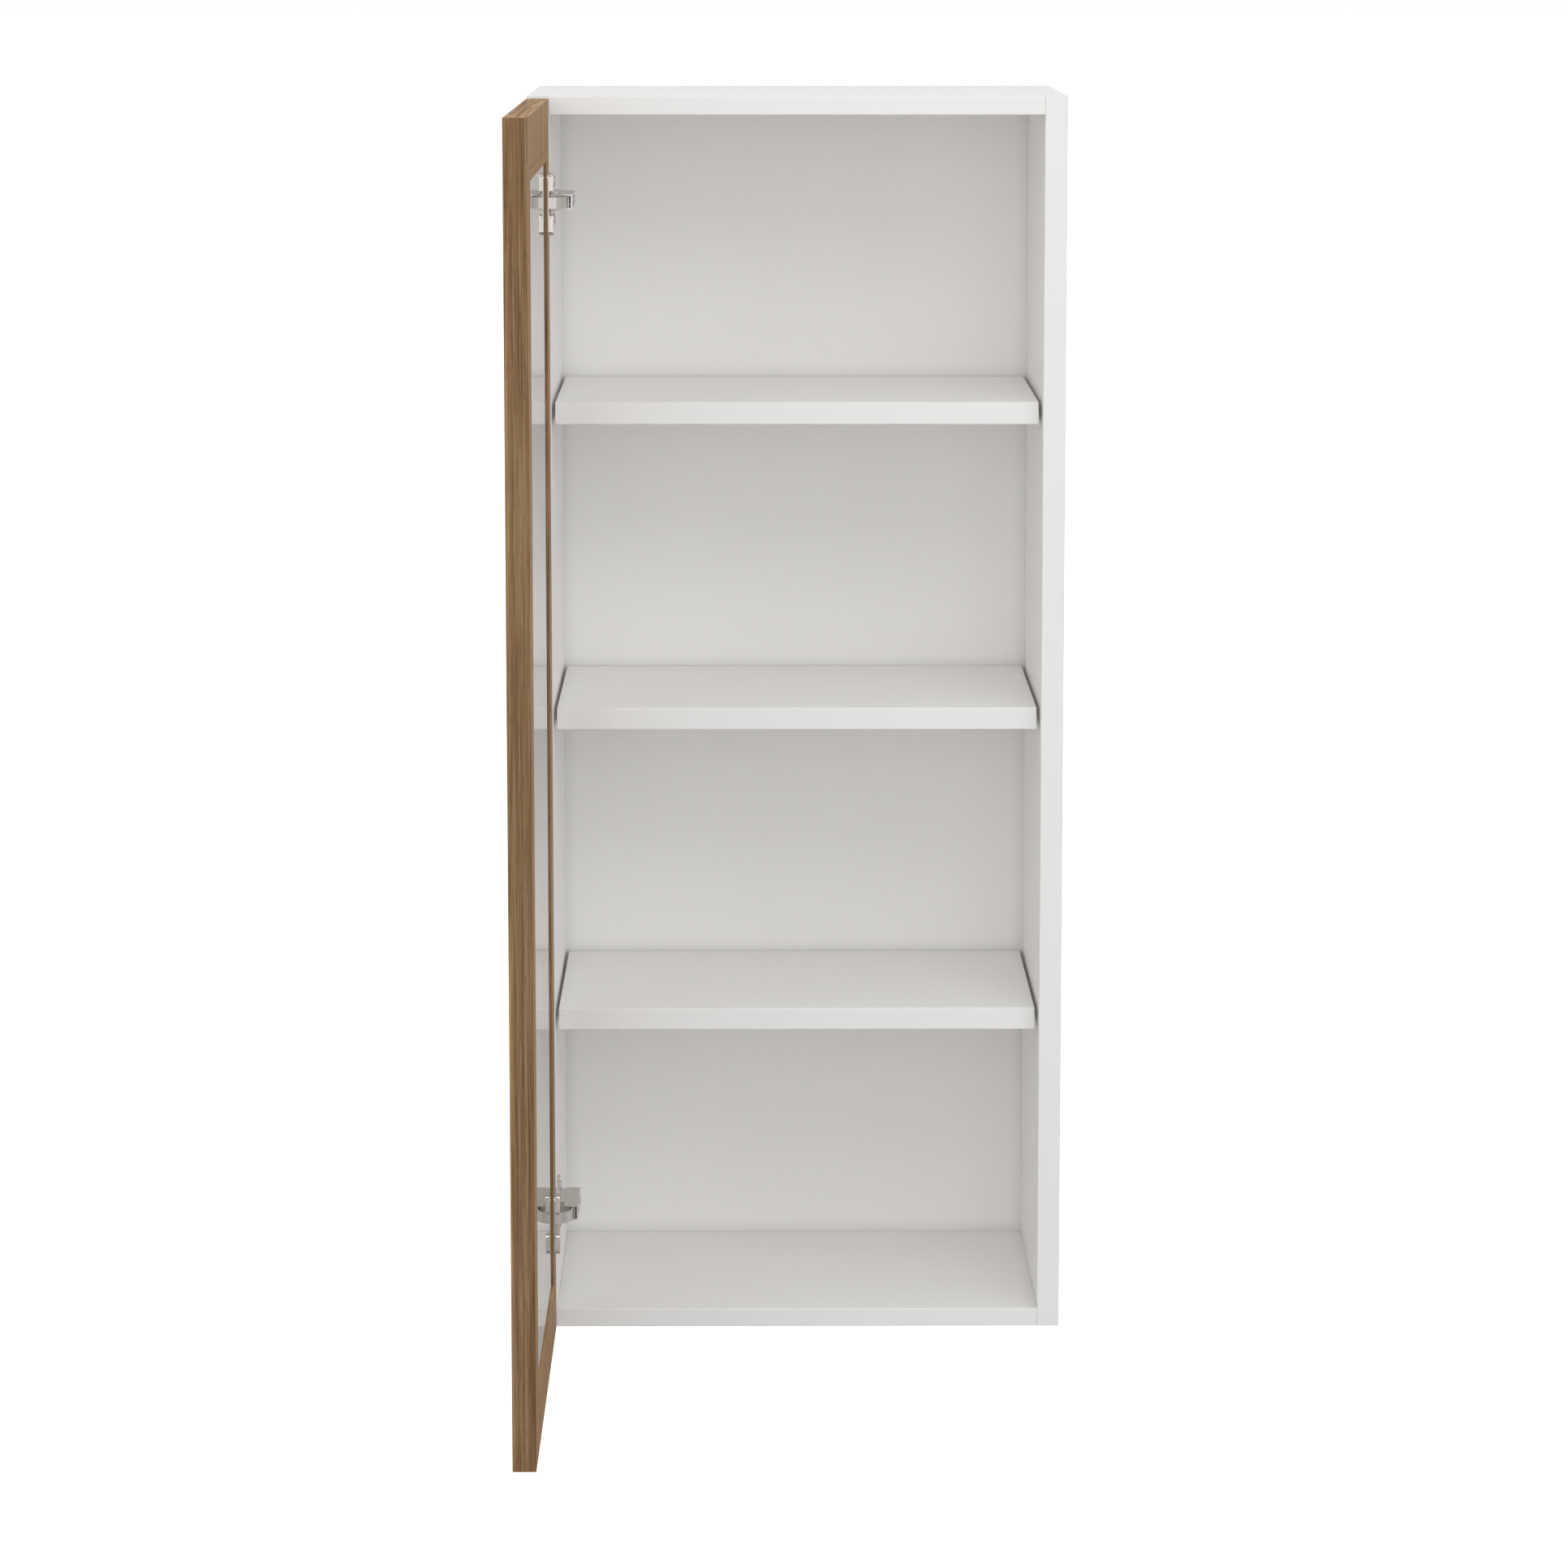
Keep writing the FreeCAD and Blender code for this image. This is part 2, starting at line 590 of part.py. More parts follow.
def make_hinges():
    """Both concealed hinges, each as its separate pieces."""
    for name, height in HINGE_Z.items():
        write(f"{name}_hinge_cup", hinge_cup(height))
        write(f"{name}_hinge_cup_screws", cup_screws(height))
        write(f"{name}_hinge_link", hinge_link(height))
        write(f"{name}_hinge_pivot_pin", pivot_pin(height))
        write(f"{name}_hinge_arm", hinge_arm(height))
        write(f"{name}_hinge_arm_screws", arm_screws(height))
        write(f"{name}_hinge_mounting_plate", mounting_plate(height))
        write(f"{name}_hinge_plate_screws", plate_screws_at(height))


os.makedirs("parts", exist_ok=True)
make_carcass()
make_shelves()
make_door()
make_hinges()
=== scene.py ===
"""Looks of a tall white wall cabinet with a framed glass door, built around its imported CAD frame.

Metres, +Z up, front towards -Y. The CAD nodes hold every place and size. The pieces here stand for
the nodes whose edges, pressings or screw heads need more shape than the CAD gives them, and every
other node keeps its mesh and gets its finish.
"""

import json
import logging
import math
from collections.abc import Iterable, Mapping, Sequence
from dataclasses import dataclass, field
from enum import Enum

import bmesh
import bpy
import numpy as np
from mathutils import Matrix, Vector

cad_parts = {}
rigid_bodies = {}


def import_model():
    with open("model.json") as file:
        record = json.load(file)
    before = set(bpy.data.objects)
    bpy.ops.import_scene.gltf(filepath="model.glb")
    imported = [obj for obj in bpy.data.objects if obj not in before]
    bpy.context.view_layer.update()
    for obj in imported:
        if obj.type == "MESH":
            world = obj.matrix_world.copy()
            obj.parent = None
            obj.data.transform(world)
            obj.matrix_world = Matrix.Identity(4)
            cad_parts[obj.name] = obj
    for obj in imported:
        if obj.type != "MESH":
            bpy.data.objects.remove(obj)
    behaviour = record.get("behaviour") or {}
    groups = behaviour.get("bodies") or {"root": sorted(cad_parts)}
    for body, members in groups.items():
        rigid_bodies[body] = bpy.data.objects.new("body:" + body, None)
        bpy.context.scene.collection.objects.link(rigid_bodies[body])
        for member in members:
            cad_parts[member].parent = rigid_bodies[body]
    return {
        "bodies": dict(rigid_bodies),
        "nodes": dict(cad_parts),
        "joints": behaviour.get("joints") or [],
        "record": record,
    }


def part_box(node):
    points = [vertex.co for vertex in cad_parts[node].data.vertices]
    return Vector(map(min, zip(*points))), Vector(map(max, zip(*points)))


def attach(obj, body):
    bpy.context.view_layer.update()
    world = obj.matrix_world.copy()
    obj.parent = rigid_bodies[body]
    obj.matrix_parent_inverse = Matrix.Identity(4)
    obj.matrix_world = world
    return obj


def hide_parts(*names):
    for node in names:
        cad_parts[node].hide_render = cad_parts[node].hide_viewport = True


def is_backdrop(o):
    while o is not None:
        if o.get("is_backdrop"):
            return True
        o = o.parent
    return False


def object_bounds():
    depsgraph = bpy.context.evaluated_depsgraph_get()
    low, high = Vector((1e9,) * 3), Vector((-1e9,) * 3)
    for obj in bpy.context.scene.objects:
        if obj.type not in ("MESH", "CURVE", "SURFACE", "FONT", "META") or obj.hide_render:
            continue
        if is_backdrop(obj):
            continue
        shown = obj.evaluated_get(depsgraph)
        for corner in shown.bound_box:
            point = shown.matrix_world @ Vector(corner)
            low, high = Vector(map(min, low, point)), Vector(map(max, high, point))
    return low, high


log = logging.getLogger("wall_cabinet")

MM = 0.001
MERGE = 1e-6  # points nearer than this are one point
FLAT = math.radians(0.5)  # faces that meet at less than this are one face
CREASE = math.radians(35)  # edges over this are shaded sharp
CORNER = math.radians(40)  # edges over this are rounded
WHITE = (1.0, 1.0, 1.0, 1.0)
FRAME: dict = {}  # the loaded frame, filled by main

Array = np.ndarray
Colour = tuple[float, float, float]


class Body(Enum):
    """Moving bodies of the frame."""

    CARCASS = "carcass"
    DOOR = "door"
    UPPER_LINK = "upper_link"
    LOWER_LINK = "lower_link"


class Slot(Enum):
    """Material slots of the record."""

    BOARD = "white_board"
    EDGE = "white_edge"
    WALNUT = "walnut"
    GLASS = "glass"
    NICKEL = "nickel"
    ZINC = "zinc"
    BEECH = "beech"
    SEAL = "seal"


class Hung(Enum):
    """The two hinges, each with the body of its link."""

    UPPER = "upper"
    LOWER = "lower"

    @property
    def link_body(self) -> Body:
        """Body that this hinge's link moves with."""
        return Body.UPPER_LINK if self is Hung.UPPER else Body.LOWER_LINK


# ---- materials --------------------------------------------------------------------------------------


class Shader:
    """A Principled material under construction."""

    def __init__(self, name: str) -> None:
        """Start an empty material.

        Args:
            name: the material's name.
        """
        self.material = bpy.data.materials.new(name)
        self.material.use_nodes = True
        self.tree = self.material.node_tree
        self.surface = next(n for n in self.tree.nodes if n.type == "BSDF_PRINCIPLED")
        self.coordinates = self.add("ShaderNodeTexCoord")
        self.object = self.coordinates.outputs["Object"]

    def add(self, kind: str, **settings: object) -> bpy.types.Node:
        """Add a node.

        Args:
            kind: the node's Blender type.
            settings: attributes of the node.

        Returns:
            The new node.
        """
        node = self.tree.nodes.new(kind)
        for key, value in settings.items():
            setattr(node, key, value)
        return node

    def feed(self, socket: bpy.types.NodeSocket, value: object) -> None:
        """Link an output to a socket, or set the socket to a constant."""
        if isinstance(value, bpy.types.NodeSocket):
            self.tree.links.new(value, socket)
        else:
            socket.default_value = value

    def base(self, **values: object) -> None:
        """Set or link sockets of the Principled shader, named with underscores for spaces."""
        for key, value in values.items():
            self.feed(self.surface.inputs[key.replace("_", " ")], value)

    def stretched(
        self, vector: object, scale: Sequence[float], place: Sequence[float] = (0, 0, 0)
    ) -> object:
        """Vector scaled along each axis, and shifted after that."""
        node = self.add("ShaderNodeMapping")
        self.feed(node.inputs["Vector"], vector)
        node.inputs["Scale"].default_value = scale
        node.inputs["Location"].default_value = place
        return node.outputs["Vector"]

    def noise(
        self, vector: object, scale: float, detail: float = 2.0, rough: float = 0.5
    ) -> bpy.types.Node:
        """Noise texture on a vector."""
        node = self.add("ShaderNodeTexNoise")
        self.feed(node.inputs["Vector"], vector)
        node.inputs["Scale"].default_value = scale
        node.inputs["Detail"].default_value = detail
        node.inputs["Roughness"].default_value = rough
        return node

    def sum(self, operation: str, first: object, second: object) -> object:
        """Result of a Math node on two values."""
        node = self.add("ShaderNodeMath", operation=operation)
        self.feed(node.inputs[0], first)
        self.feed(node.inputs[1], second)
        return node.outputs["Value"]

    def vector_sum(self, operation: str, first: object, second: object) -> object:
        """Result of a Vector Math node on two vectors."""
        node = self.add("ShaderNodeVectorMath", operation=operation)
        self.feed(node.inputs[0], first)
        self.feed(node.inputs[1], second)
        return node.outputs["Vector"]

    def spread(self, value: object, low: float, high: float, to_low: float, to_high: float) -> object:
        """Value mapped from one range to another and held inside it."""
        node = self.add("ShaderNodeMapRange", clamp=True)
        names = ("Value", "From Min", "From Max", "To Min", "To Max")
        for name, given in zip(names, (value, low, high, to_low, to_high)):
            self.feed(node.inputs[name], given)
        return node.outputs["Result"]

    def ramp(self, value: object, stops: Iterable[tuple[float, Colour]]) -> object:
        """Colour read from a smooth ramp of (place, colour) stops."""
        node = self.add("ShaderNodeValToRGB")
        self.feed(node.inputs["Fac"], value)
        node.color_ramp.interpolation = "EASE"
        elements = node.color_ramp.elements
        stops = list(stops)
        while len(elements) < len(stops):
            elements.new(1.0)
        for element, (place, colour) in zip(elements, stops):
            element.position = place
            element.color = (*colour, 1.0)
        return node.outputs["Color"]

    def mix(self, factor: object, first: object, second: object, blend: str = "MIX") -> object:
        """Two colours mixed by a factor."""
        node = self.add("ShaderNodeMix", data_type="RGBA", blend_type=blend)
        self.feed(node.inputs["Factor"], factor)
        self.feed(node.inputs[6], first)
        self.feed(node.inputs[7], second)
        return node.outputs[2]

    def bump(self, height: object, distance: float, strength: float = 1.0) -> None:
        """Bump the surface by a height between 0 and 1 of a distance in metres."""
        node = self.add("ShaderNodeBump")
        self.feed(node.inputs["Height"], height)
        node.inputs["Distance"].default_value = distance
        node.inputs["Strength"].default_value = strength
        self.feed(self.surface.inputs["Normal"], node.outputs["Normal"])


@dataclass(frozen=True)
class Melamine:
    """Satin white facing with a fine pressed texture, a trace of tone, and painted shade in inner corners.
    """

    colour: Colour = (0.932, 0.926, 0.915)
    tone: float = 0.992  # of the darker patches against the colour
    patch_scale: float = 7.0
    roughness: float = 0.44
    uneven: float = 0.04  # how far the roughness goes up and down
    peel: float = 0.00004  # metres
    peel_scale: float = 900.0
    corner: Colour = (0.80, 0.80, 0.80)  # tone of the painted shade deep in an inner corner, multiplied into the colour by an occlusion node
    painted_shade_reach: float = 0.012  # metres from the corner that the painted shade reaches

    def make(self, name: str) -> bpy.types.Material:
        """Build the material."""
        shader = Shader(name)
        cloud = shader.noise(shader.object, self.patch_scale, 3.0).outputs["Fac"]
        darker = tuple(self.tone * c for c in self.colour)
        facing = shader.ramp(cloud, [(0.35, self.colour), (0.65, darker)])
        # Painted shade: an occlusion node darkens the colour within a short reach of inner corners.
        painted_corner_occlusion = shader.add("ShaderNodeAmbientOcclusion", samples=6)
        painted_corner_occlusion.inputs["Distance"].default_value = self.painted_shade_reach
        shade = shader.mix(painted_corner_occlusion.outputs["AO"], (*self.corner, 1.0), WHITE)
        tint = shader.mix(1.0, facing, shade, "MULTIPLY")
        peel = shader.noise(shader.object, self.peel_scale, 2.0).outputs["Fac"]
        gloss = shader.spread(peel, 0.3, 0.7, self.roughness - self.uneven, self.roughness + self.uneven)
        shader.base(Base_Color=tint, Roughness=gloss)
        shader.bump(peel, self.peel)
        return shader.material


@dataclass(frozen=True)
class Walnut:
    """Satin walnut with upright grain: fine wandering streaks, a slow figure and short pores.

    The streaks are four layers of noise, each given as (scale, share of the tone), on coordinates
    that are squeezed along the grain.
    """

    dark: Colour = (0.246, 0.126, 0.050)
    middle: Colour = (0.396, 0.227, 0.099)
    light: Colour = (0.546, 0.342, 0.168)
    stops: Sequence[float] = (0.41, 0.50, 0.59)  # tones of the noise that are dark, middle and light
    pore: Colour = (0.125, 0.064, 0.028)
    pore_scale: float = 2100.0
    pore_squeeze: float = 3.0  # of the pores along the grain, against the streaks
    pore_range: Sequence[float] = (0.60, 0.72)  # noise at which a pore starts, and at which it is full
    pore_depth: float = 0.5  # share of the pore's colour in a full pore
    streaks: Sequence[tuple[float, float]] = ((980.0, 0.36), (450.0, 0.34), (170.0, 0.18), (52.0, 0.12))
    edge_strip_and_painted_shade: Colour = (0.590, 0.605, 0.680)  # tone of the faces that look along Y, the stiles' edge strips, against the other faces: partly the wood's own edge tone, partly painted shade
    sap_strip: Colour = (0.76, 0.80, 0.80)  # tone of the lighter sapwood in those strips
    sap_width: float = 0.0035  # metres in from the door's outer face
    sap_wander: float = 0.008  # metres that the sapwood's border moves from darkest to lightest grain
    sap_blur: float = 0.0008  # half the border's width
    outer_face: float = 0.0  # level of the door's outer face along X
    roughness: float = 0.55
    gloss: float = 0.12  # specular level, low as on an oiled face
    along: float = 0.011  # how much slower the pattern changes along the grain
    wander: float = 0.006  # metres that a streak strays sideways
    wander_scale: float = 14.0
    wander_along: float = 0.14  # how much slower the straying changes along the grain
    relief: float = 0.00012  # depth of the grain
    turn: float = 0.75  # share of a normal on an axis from which a face counts as facing that way

    def facing(self, shader: Shader, axis: str) -> object:
        """1 on faces that look along an axis of the object, and 0 on the others."""
        parts = shader.add("ShaderNodeSeparateXYZ")
        shader.feed(parts.inputs[0], shader.coordinates.outputs["Normal"])
        return shader.sum("GREATER_THAN", shader.sum("ABSOLUTE", parts.outputs[axis], 0.0), self.turn)

    def grain_space(self, shader: Shader, place: Sequence[float]) -> object:
        """Coordinates whose Z runs along the grain, also on the end faces, with the streaks' wander.

        Args:
            shader: the material under construction.
            place: shift that gives each member its own cut of wood.

        Returns:
            The vector output.
        """
        parts = shader.add("ShaderNodeSeparateXYZ")
        shader.feed(parts.inputs[0], shader.object)
        turned_over = shader.add("ShaderNodeCombineXYZ")
        for axis, source in (("X", "X"), ("Y", "Z"), ("Z", "Y")):
            shader.feed(turned_over.inputs[axis], parts.outputs[source])
        lying = shader.mix(self.facing(shader, "Z"), shader.object, turned_over.outputs[0])
        shifted = shader.stretched(lying, (1, 1, 1), place)
        slow = shader.stretched(shifted, (1, 1, self.wander_along))
        stray = shader.noise(slow, self.wander_scale, 3.0, 0.45).outputs["Color"]
        centred = shader.vector_sum("SUBTRACT", stray, (0.5, 0.5, 0.5))
        moved = shader.vector_sum("MULTIPLY", centred, (self.wander, self.wander, 0.0))
        return shader.stretched(shader.vector_sum("ADD", shifted, moved), (1, 1, self.along))

    def edge_tone(self, shader: Shader, tone: object) -> object:
        """Tone of an edge strip, darkened partly as painted shade, with sapwood along its outer side behind
        a border that wanders.
        """
        across = shader.add("ShaderNodeSeparateXYZ")
        shader.feed(across.inputs[0], shader.object)
        border = shader.sum("ADD", across.outputs["X"], shader.sum("MULTIPLY", tone, self.sap_wander))
        start = self.outer_face + self.sap_width + self.sap_wander / 2
        sap = shader.spread(border, start - self.sap_blur, start + self.sap_blur, 1.0, 0.0)
        return shader.mix(sap, (*self.edge_strip_and_painted_shade, 1.0), (*self.sap_strip, 1.0))

    def make(self, name: str, place: Sequence[float] = (0, 0, 0)) -> bpy.types.Material:
        """Build the material of one member.

        Args:
            name: the material's name.
            place: shift of the pattern in metres.

        Returns:
            The material.
        """
        shader = Shader(name)
        grain = self.grain_space(shader, place)
        tone: object = 0.0
        for scale, share in self.streaks:
            layer = shader.noise(grain, scale, 2.0, 0.55).outputs["Fac"]
            tone = shader.sum("ADD", tone, shader.sum("MULTIPLY", layer, share))
        wood = shader.ramp(tone, zip(self.stops, (self.dark, self.middle, self.light)))
        short = shader.stretched(grain, (1, 1, self.pore_squeeze))
        cells = shader.noise(short, self.pore_scale, 1.0).outputs["Fac"]
        pores = shader.spread(cells, *self.pore_range, 0.0, self.pore_depth)
        flat = shader.mix(pores, wood, (*self.pore, 1.0))
        # Faces that look along Y are made darker: partly the edge strips' own tone, partly painted shade.
        edge_tone_and_painted_shade = shader.mix(self.facing(shader, "Y"), WHITE, self.edge_tone(shader, tone))
        shader.base(
            Base_Color=shader.mix(1.0, flat, edge_tone_and_painted_shade, "MULTIPLY"),
            Roughness=shader.spread(tone, 0.4, 0.6, self.roughness + 0.06, self.roughness - 0.04),
            Specular_IOR_Level=self.gloss,
        )
        shader.bump(shader.sum("SUBTRACT", tone, pores), self.relief, 0.8)
        return shader.material


@dataclass(frozen=True)
class Glass:
    """Clear float glass."""

    tint: Colour = (0.965, 0.985, 0.975)
    refraction: float = 1.5
    smear_scale: float = 9.0
    smear: float = 0.02  # roughness where the glass is smeared

    def make(self, name: str) -> bpy.types.Material:
        """Build the material."""
        shader = Shader(name)
        upright = shader.stretched(shader.object, (1, 1, 0.5))
        smear = shader.noise(upright, self.smear_scale, 3.0).outputs["Fac"]
        shader.base(
            Base_Color=(*self.tint, 1.0), Transmission_Weight=1.0, IOR=self.refraction,
            Roughness=shader.spread(smear, 0.45, 0.7, 0.0, self.smear),
        )
        return shader.material


@dataclass(frozen=True)
class Plating:
    """Plated steel with a fine drawn grain."""

    colour: Colour
    roughness: float
    drawn: Sequence[float] = (1.0, 0.08, 1.0)  # squeeze of the drawn lines along each axis
    line_scale: float = 2600.0
    cloud_scale: float = 160.0
    dull: float = 0.95  # of the duller patches against the colour
    uneven: float = 0.06  # how far the roughness goes up and down
    relief: float = 0.000003  # metres

    def make(self, name: str) -> bpy.types.Material:
        """Build the material."""
        shader = Shader(name)
        drawn = shader.stretched(shader.object, self.drawn)
        lines = shader.noise(drawn, self.line_scale, 2.0).outputs["Fac"]
        cloud = shader.noise(shader.object, self.cloud_scale, 3.0).outputs["Fac"]
        duller = tuple(self.dull * c for c in self.colour)
        rough, uneven = self.roughness, self.uneven
        shader.base(
            Base_Color=shader.ramp(cloud, [(0.35, self.colour), (0.7, duller)]), Metallic=1.0,
            Roughness=shader.spread(lines, 0.3, 0.7, rough - uneven, rough + uneven),
        )
        shader.bump(lines, self.relief)
        return shader.material


@dataclass(frozen=True)
class Beech:
    """Raw beech dowel stock with flecks along X."""

    light: Colour = (0.60, 0.42, 0.26)
    dark: Colour = (0.47, 0.30, 0.17)
    stretch: Sequence[float] = (0.12, 1.0, 1.0)
    fleck_scale: float = 900.0
    relief: float = 0.0001  # metres

    def make(self, name: str) -> bpy.types.Material:
        """Build the material."""
        shader = Shader(name)
        lying = shader.stretched(shader.object, self.stretch)
        flecks = shader.noise(lying, self.fleck_scale, 3.0).outputs["Fac"]
        shader.base(Base_Color=shader.ramp(flecks, [(0.4, self.dark), (0.6, self.light)]), Roughness=0.7)
        shader.bump(flecks, self.relief)
        return shader.material


@dataclass(frozen=True)
class Foam:
    """Grey closed-cell sealing tape."""

    colour: Colour = (0.52, 0.52, 0.51)
    cell_middle: float = 0.8  # tone of the cells' middles against the colour
    cell_scale: float = 2200.0
    relief: float = 0.0001  # metres

    def make(self, name: str) -> bpy.types.Material:
        """Build the material."""
        shader = Shader(name)
        cells = shader.add("ShaderNodeTexVoronoi", feature="SMOOTH_F1")
        shader.feed(cells.inputs["Vector"], shader.object)
        cells.inputs["Scale"].default_value = self.cell_scale
        darker = tuple(self.cell_middle * c for c in self.colour)
        tint = shader.ramp(cells.outputs["Distance"], [(0.2, darker), (0.7, self.colour)])
        shader.base(Base_Color=tint, Roughness=0.85)
        shader.bump(cells.outputs["Distance"], self.relief)
        return shader.material


class Finishes:
    """Every finish of the cabinet, each made once."""

    def __init__(self) -> None:
        """Make the materials."""
        band = Melamine(colour=(0.902, 0.896, 0.886), roughness=0.36, peel=0.00002)
        self.board = Melamine().make("white_melamine")
        self.edge = band.make("white_edge_band")
        self.glass = Glass().make("clear_glass")
        self.nickel = Plating((0.74, 0.72, 0.685), 0.36).make("satin_nickel")
        self.zinc = Plating((0.60, 0.61, 0.63), 0.36, (1.0, 1.0, 1.0)).make("zinc_plate")
        self.beech = Beech().make("beech_across")
        self.seal = Foam().make("grey_foam")

    def walnut(self, name: str, place: Sequence[float]) -> bpy.types.Material:
        """Walnut cut for one member of the door."""
        return Walnut(outer_face=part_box("door_free_stile")[0].x).make(f"walnut_{name}", place)


# ---- surfaces ---------------------------------------------------------------------------------------


@dataclass(frozen=True)
class Skin:
    """Points in metres and the faces that join them."""

    points: Array
    faces: list[list[int]]

    def __add__(self, other: "Skin") -> "Skin":
        """Both skins as one."""
        shift = len(self.points)
        moved = [[i + shift for i in face] for face in other.faces]
        return Skin(np.vstack([self.points, other.points]), self.faces + moved)


@dataclass(frozen=True)
class Place:
    """Local axes in the frame: where the origin is, and the directions of local x, y and z."""

    origin: Sequence[float]
    across: Sequence[float]
    up: Sequence[float]
    out: Sequence[float]

    def put(self, points: Array) -> Array:
        """Local points as points of the frame."""
        axes = np.array([self.across, self.up, self.out], float)
        return np.asarray(self.origin, float) + points @ axes


def skin(rings: Array, caps: bool = True, loop: bool = False) -> Skin:
    """Skin over a stack of closed rings.

    Quad (i, j) joins points j and j + 1 of ring i to the same points of ring i + 1.

    Args:
        rings: points, as (ring, point, axis).
        caps: close the first and the last ring with a face.
        loop: join the last ring to the first one.

    Returns:
        The skin.
    """
    count, around, _ = rings.shape
    i, j = np.meshgrid(np.arange(count if loop else count - 1), np.arange(around), indexing="ij")
    after_i, after_j = (i + 1) % count, (j + 1) % around
    corners = [i * around + j, i * around + after_j, after_i * around + after_j, after_i * around + j]
    faces = np.stack(corners, -1).reshape(-1, 4).tolist()
    if caps and not loop:
        faces += [list(range(around))[::-1], [(count - 1) * around + k for k in range(around)]]
    return Skin(rings.reshape(-1, 3), faces)


def rounded_polygon(corners: Array, radii: Array, inset: float = 0.0, steps: int = 3) -> Array:
    """Polygon that runs anticlockwise, moved inwards by an inset, with its corners on arcs.

    A corner moves by inset * (n0 + n1) / (1 + n0.n1), where n0 and n1 are the inward normals of its
    sides, and its arc turns from one side's direction to the other's.

    Args:
        corners: the polygon, as (corner, axis).
        radii: radius at each corner before the inset.
        inset: how far every side moves inwards.
        steps: straight pieces in an arc.

    Returns:
        Points, as (point, axis).
    """
    before, after = corners - np.roll(corners, 1, 0), np.roll(corners, -1, 0) - corners
    d0, d1 = (d / np.linalg.norm(d, axis=1, keepdims=True) for d in (before, after))
    n0, n1 = (np.stack([-d[:, 1], d[:, 0]], -1) for d in (d0, d1))
    angle = np.arctan2(d0[:, 0] * d1[:, 1] - d0[:, 1] * d1[:, 0], (d0 * d1).sum(1))
    side = np.sign(angle)
    moved = corners + inset * (n0 + n1) / (1 + (n0 * n1).sum(1, keepdims=True))
    radius = np.where(radii > 0, np.maximum(radii - side * inset, 1e-6), 1e-6)
    reach = (radius * np.tan(np.abs(angle) / 2))[:, None]
    centre = moved - d0 * reach + (side * radius)[:, None] * n0
    turn = np.linspace(0, 1, steps + 1)[None, :] * angle[:, None]
    cos, sin = np.cos(turn), np.sin(turn)
    spoke = np.stack([cos * n0[:, :1] - sin * n0[:, 1:], sin * n0[:, :1] + cos * n0[:, 1:]], -1)
    return (centre[:, None, :] - (side * radius)[:, None, None] * spoke).reshape(-1, 2)


def end_rounding(low: float, high: float, radius: float, steps: int = 3) -> list[tuple[float, float]]:
    """Stations (inset, level) along a bar whose two ends are rounded.

    Inset = radius * (1 - sin a) and level = end + radius * (1 - cos a), with a over a quarter turn.
    """
    turn = np.linspace(0, math.pi / 2, steps + 1)
    inset, level = radius * (1 - np.sin(turn)), radius * (1 - np.cos(turn))
    first = [(float(a), float(low + b)) for a, b in zip(inset, level)]
    last = [(float(a), float(high - b)) for a, b in zip(inset[::-1], level[::-1])]
    return first + last


def bar(corners: Array, radii: Array, low: float, high: float, end_radius: float, place: Place) -> Skin:
    """Rounded polygon carried along the place's `out` axis, with rounded ends.

    Args:
        corners: cross-section in local x and y, anticlockwise.
        radii: radius at each corner.
        low: first level along the bar.
        high: last level.
        end_radius: rounding of both ends' edges.
        place: where the bar is.

    Returns:
        The bar's skin.
    """
    rings = []
    for inset, level in end_rounding(low, high, end_radius):
        outline = rounded_polygon(corners, radii, inset)
        rings.append(np.column_stack([outline, np.full(len(outline), level)]))
    return skin(place.put(np.array(rings)))


def block(low: Vector, high: Vector, radius: float) -> Skin:
    """Box between two corners with all its edges rounded."""
    middle, size = (low + high) / 2, high - low
    corners = np.array([(-1, -1), (1, -1), (1, 1), (-1, 1)]) * np.array([size.x, size.y]) / 2
    upright = Place((middle.x, middle.y, 0), (1, 0, 0), (0, 1, 0), (0, 0, 1))
    return bar(corners, np.full(4, radius), low.z, high.z, radius, upright)


